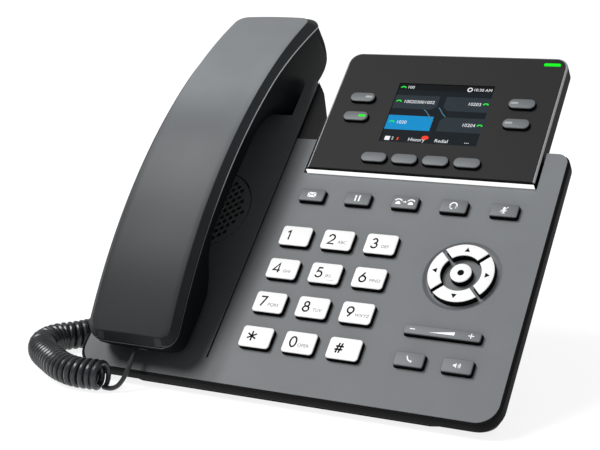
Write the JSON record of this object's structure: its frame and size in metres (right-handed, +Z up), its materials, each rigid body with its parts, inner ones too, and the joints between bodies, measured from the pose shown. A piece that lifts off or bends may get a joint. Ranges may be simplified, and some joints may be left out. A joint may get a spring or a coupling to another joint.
{
  "type": "desk ip telephone",
  "caption": "Sloping desk telephone on a rear stand, with a raised colour display, a push-button keypad, a navigation ring and a corded handset resting in a cradle.",
  "frame": {"origin": "on the desk, at the centre of the base rectangle of the telephone without its cord", "axes": "+X to the user's right, +Y away from the user towards the back, +Z up from the desk; the face slopes at 45 degrees and looks towards -Y and +Z"},
  "size_m": [0.2455, 0.1744, 0.1634],
  "materials": {
    "grey_plastic": "fine satin texture",
    "dark_plastic": "satin",
    "bezel_black": "semi-gloss",
    "white_plastic": "smooth satin",
    "screen_glass": "clear gloss over a lit screen",
    "bright_trim": "polished",
    "green_lamp": "lit translucent plastic",
    "rubber": "matte",
    "keypad_rubber": "matte silicone",
    "circuit_board": "solder mask",
    "grey_metal": "satin",
    "cord_plastic": "smooth",
    "clear_plastic": "clear"
  },
  "bodies": {
    "phone_body": {"front_cover": "grey_plastic", "rear_case": "dark_plastic", "stand": "dark_plastic", "front_foot": "rubber", "stand_foot": "rubber", "display_housing": "dark_plastic", "display_bezel": "bezel_black", "lcd_panel": "screen_glass", "trim_strip": "bright_trim", "message_lamp": "green_lamp", "speaker_grille": "grey_plastic", "loudspeaker": "grey_metal", "main_board": "circuit_board", "keypad_mat": "keypad_rubber", "network_jacks": "grey_metal", "cord_jack": "dark_plastic", "retainer_tab": "grey_plastic", "base_plug": "clear_plastic", "base_lead": "cord_plastic", "curly_cord": "cord_plastic", "handset_lead": "cord_plastic"},
    "handset": {"handset_grip_shell": "grey_plastic", "handset_inner_shell": "dark_plastic", "receiver": "grey_metal", "microphone": "grey_metal", "handset_plug": "clear_plastic"},
    "hook_plunger": {"hook_plunger": "dark_plastic"},
    "dial_key_1": {"dial_key_1": "white_plastic"},
    "dial_key_2": {"dial_key_2": "white_plastic"},
    "dial_key_3": {"dial_key_3": "white_plastic"},
    "dial_key_4": {"dial_key_4": "white_plastic"},
    "dial_key_5": {"dial_key_5": "white_plastic"},
    "dial_key_6": {"dial_key_6": "white_plastic"},
    "dial_key_7": {"dial_key_7": "white_plastic"},
    "dial_key_8": {"dial_key_8": "white_plastic"},
    "dial_key_9": {"dial_key_9": "white_plastic"},
    "dial_key_star": {"dial_key_star": "white_plastic"},
    "dial_key_0": {"dial_key_0": "white_plastic"},
    "dial_key_hash": {"dial_key_hash": "white_plastic"},
    "function_key_message": {"function_key_message": "grey_plastic"},
    "function_key_hold": {"function_key_hold": "grey_plastic"},
    "function_key_transfer": {"function_key_transfer": "grey_plastic"},
    "function_key_headset": {"function_key_headset": "grey_plastic"},
    "function_key_mute": {"function_key_mute": "grey_plastic"},
    "send_key": {"send_key": "grey_plastic"},
    "speaker_key": {"speaker_key": "grey_plastic"},
    "nav_key_up": {"nav_key_up": "white_plastic"},
    "nav_key_down": {"nav_key_down": "white_plastic"},
    "nav_key_left": {"nav_key_left": "white_plastic"},
    "nav_key_right": {"nav_key_right": "white_plastic"},
    "select_key": {"select_key": "white_plastic"},
    "line_key_left_upper": {"line_key_left_upper": "grey_plastic"},
    "line_key_left_lower": {"line_key_left_lower": "grey_plastic"},
    "line_key_right_upper": {"line_key_right_upper": "grey_plastic"},
    "line_key_right_lower": {"line_key_right_lower": "grey_plastic"},
    "soft_key_1": {"soft_key_1": "grey_plastic"},
    "soft_key_2": {"soft_key_2": "grey_plastic"},
    "soft_key_3": {"soft_key_3": "grey_plastic"},
    "soft_key_4": {"soft_key_4": "grey_plastic"},
    "volume_rocker": {"volume_rocker": "grey_plastic"}
  },
  "joints": [
    {"name": "dial_key_1_press", "type": "slide", "parent": "phone_body", "child": "dial_key_1", "axis": [0, 0.7071, -0.7071], "range_m": [0, 0.001], "stiffness_N_per_m": 300},
    {"name": "dial_key_2_press", "type": "slide", "parent": "phone_body", "child": "dial_key_2", "axis": [0, 0.7071, -0.7071], "range_m": [0, 0.001], "stiffness_N_per_m": 300},
    {"name": "dial_key_3_press", "type": "slide", "parent": "phone_body", "child": "dial_key_3", "axis": [0, 0.7071, -0.7071], "range_m": [0, 0.001], "stiffness_N_per_m": 300},
    {"name": "dial_key_4_press", "type": "slide", "parent": "phone_body", "child": "dial_key_4", "axis": [0, 0.7071, -0.7071], "range_m": [0, 0.001], "stiffness_N_per_m": 300},
    {"name": "dial_key_5_press", "type": "slide", "parent": "phone_body", "child": "dial_key_5", "axis": [0, 0.7071, -0.7071], "range_m": [0, 0.001], "stiffness_N_per_m": 300},
    {"name": "dial_key_6_press", "type": "slide", "parent": "phone_body", "child": "dial_key_6", "axis": [0, 0.7071, -0.7071], "range_m": [0, 0.001], "stiffness_N_per_m": 300},
    {"name": "dial_key_7_press", "type": "slide", "parent": "phone_body", "child": "dial_key_7", "axis": [0, 0.7071, -0.7071], "range_m": [0, 0.001], "stiffness_N_per_m": 300},
    {"name": "dial_key_8_press", "type": "slide", "parent": "phone_body", "child": "dial_key_8", "axis": [0, 0.7071, -0.7071], "range_m": [0, 0.001], "stiffness_N_per_m": 300},
    {"name": "dial_key_9_press", "type": "slide", "parent": "phone_body", "child": "dial_key_9", "axis": [0, 0.7071, -0.7071], "range_m": [0, 0.001], "stiffness_N_per_m": 300},
    {"name": "dial_key_star_press", "type": "slide", "parent": "phone_body", "child": "dial_key_star", "axis": [0, 0.7071, -0.7071], "range_m": [0, 0.001], "stiffness_N_per_m": 300},
    {"name": "dial_key_0_press", "type": "slide", "parent": "phone_body", "child": "dial_key_0", "axis": [0, 0.7071, -0.7071], "range_m": [0, 0.001], "stiffness_N_per_m": 300},
    {"name": "dial_key_hash_press", "type": "slide", "parent": "phone_body", "child": "dial_key_hash", "axis": [0, 0.7071, -0.7071], "range_m": [0, 0.001], "stiffness_N_per_m": 300},
    {"name": "function_key_message_press", "type": "slide", "parent": "phone_body", "child": "function_key_message", "axis": [0, 0.7071, -0.7071], "range_m": [0, 0.001], "stiffness_N_per_m": 300},
    {"name": "function_key_hold_press", "type": "slide", "parent": "phone_body", "child": "function_key_hold", "axis": [0, 0.7071, -0.7071], "range_m": [0, 0.001], "stiffness_N_per_m": 300},
    {"name": "function_key_transfer_press", "type": "slide", "parent": "phone_body", "child": "function_key_transfer", "axis": [0, 0.7071, -0.7071], "range_m": [0, 0.001], "stiffness_N_per_m": 300},
    {"name": "function_key_headset_press", "type": "slide", "parent": "phone_body", "child": "function_key_headset", "axis": [0, 0.7071, -0.7071], "range_m": [0, 0.001], "stiffness_N_per_m": 300},
    {"name": "function_key_mute_press", "type": "slide", "parent": "phone_body", "child": "function_key_mute", "axis": [0, 0.7071, -0.7071], "range_m": [0, 0.001], "stiffness_N_per_m": 300},
    {"name": "send_key_press", "type": "slide", "parent": "phone_body", "child": "send_key", "axis": [0, 0.7071, -0.7071], "range_m": [0, 0.001], "stiffness_N_per_m": 300},
    {"name": "speaker_key_press", "type": "slide", "parent": "phone_body", "child": "speaker_key", "axis": [0, 0.7071, -0.7071], "range_m": [0, 0.001], "stiffness_N_per_m": 300},
    {"name": "nav_key_up_press", "type": "slide", "parent": "phone_body", "child": "nav_key_up", "axis": [0, 0.7071, -0.7071], "range_m": [0, 0.001], "stiffness_N_per_m": 300},
    {"name": "nav_key_down_press", "type": "slide", "parent": "phone_body", "child": "nav_key_down", "axis": [0, 0.7071, -0.7071], "range_m": [0, 0.001], "stiffness_N_per_m": 300},
    {"name": "nav_key_left_press", "type": "slide", "parent": "phone_body", "child": "nav_key_left", "axis": [0, 0.7071, -0.7071], "range_m": [0, 0.001], "stiffness_N_per_m": 300},
    {"name": "nav_key_right_press", "type": "slide", "parent": "phone_body", "child": "nav_key_right", "axis": [0, 0.7071, -0.7071], "range_m": [0, 0.001], "stiffness_N_per_m": 300},
    {"name": "select_key_press", "type": "slide", "parent": "phone_body", "child": "select_key", "axis": [0, 0.7071, -0.7071], "range_m": [0, 0.001], "stiffness_N_per_m": 300},
    {"name": "line_key_left_upper_press", "type": "slide", "parent": "phone_body", "child": "line_key_left_upper", "axis": [0, 0.7071, -0.7071], "range_m": [0, 0.0008], "stiffness_N_per_m": 300},
    {"name": "line_key_left_lower_press", "type": "slide", "parent": "phone_body", "child": "line_key_left_lower", "axis": [0, 0.7071, -0.7071], "range_m": [0, 0.0008], "stiffness_N_per_m": 300},
    {"name": "line_key_right_upper_press", "type": "slide", "parent": "phone_body", "child": "line_key_right_upper", "axis": [0, 0.7071, -0.7071], "range_m": [0, 0.0008], "stiffness_N_per_m": 300},
    {"name": "line_key_right_lower_press", "type": "slide", "parent": "phone_body", "child": "line_key_right_lower", "axis": [0, 0.7071, -0.7071], "range_m": [0, 0.0008], "stiffness_N_per_m": 300},
    {"name": "soft_key_1_press", "type": "slide", "parent": "phone_body", "child": "soft_key_1", "axis": [0, 0.7071, -0.7071], "range_m": [0, 0.0008], "stiffness_N_per_m": 300},
    {"name": "soft_key_2_press", "type": "slide", "parent": "phone_body", "child": "soft_key_2", "axis": [0, 0.7071, -0.7071], "range_m": [0, 0.0008], "stiffness_N_per_m": 300},
    {"name": "soft_key_3_press", "type": "slide", "parent": "phone_body", "child": "soft_key_3", "axis": [0, 0.7071, -0.7071], "range_m": [0, 0.0008], "stiffness_N_per_m": 300},
    {"name": "soft_key_4_press", "type": "slide", "parent": "phone_body", "child": "soft_key_4", "axis": [0, 0.7071, -0.7071], "range_m": [0, 0.0008], "stiffness_N_per_m": 300},
    {"name": "volume_rocker_tilt", "type": "hinge", "parent": "phone_body", "child": "volume_rocker", "pos_m": [0.0691, -0.04614, 0.0332], "axis": [0, 0.7071, 0.7071], "range_deg": [-2.5, 2.5], "stiffness_Nm_per_rad": 0.05},
    {"name": "handset_lift", "type": "slide", "parent": "phone_body", "child": "handset", "axis": [0, -0.7071, 0.7071], "range_m": [0, 0.05]},
    {"name": "hook_plunger_rise", "type": "slide", "parent": "phone_body", "child": "hook_plunger", "axis": [0, -0.7071, 0.7071], "range_m": [0, 0.004]}
  ],
  "couplings": [
    {"joint": "hook_plunger_rise", "follows": "handset_lift", "ratio": 0.08}
  ]
}
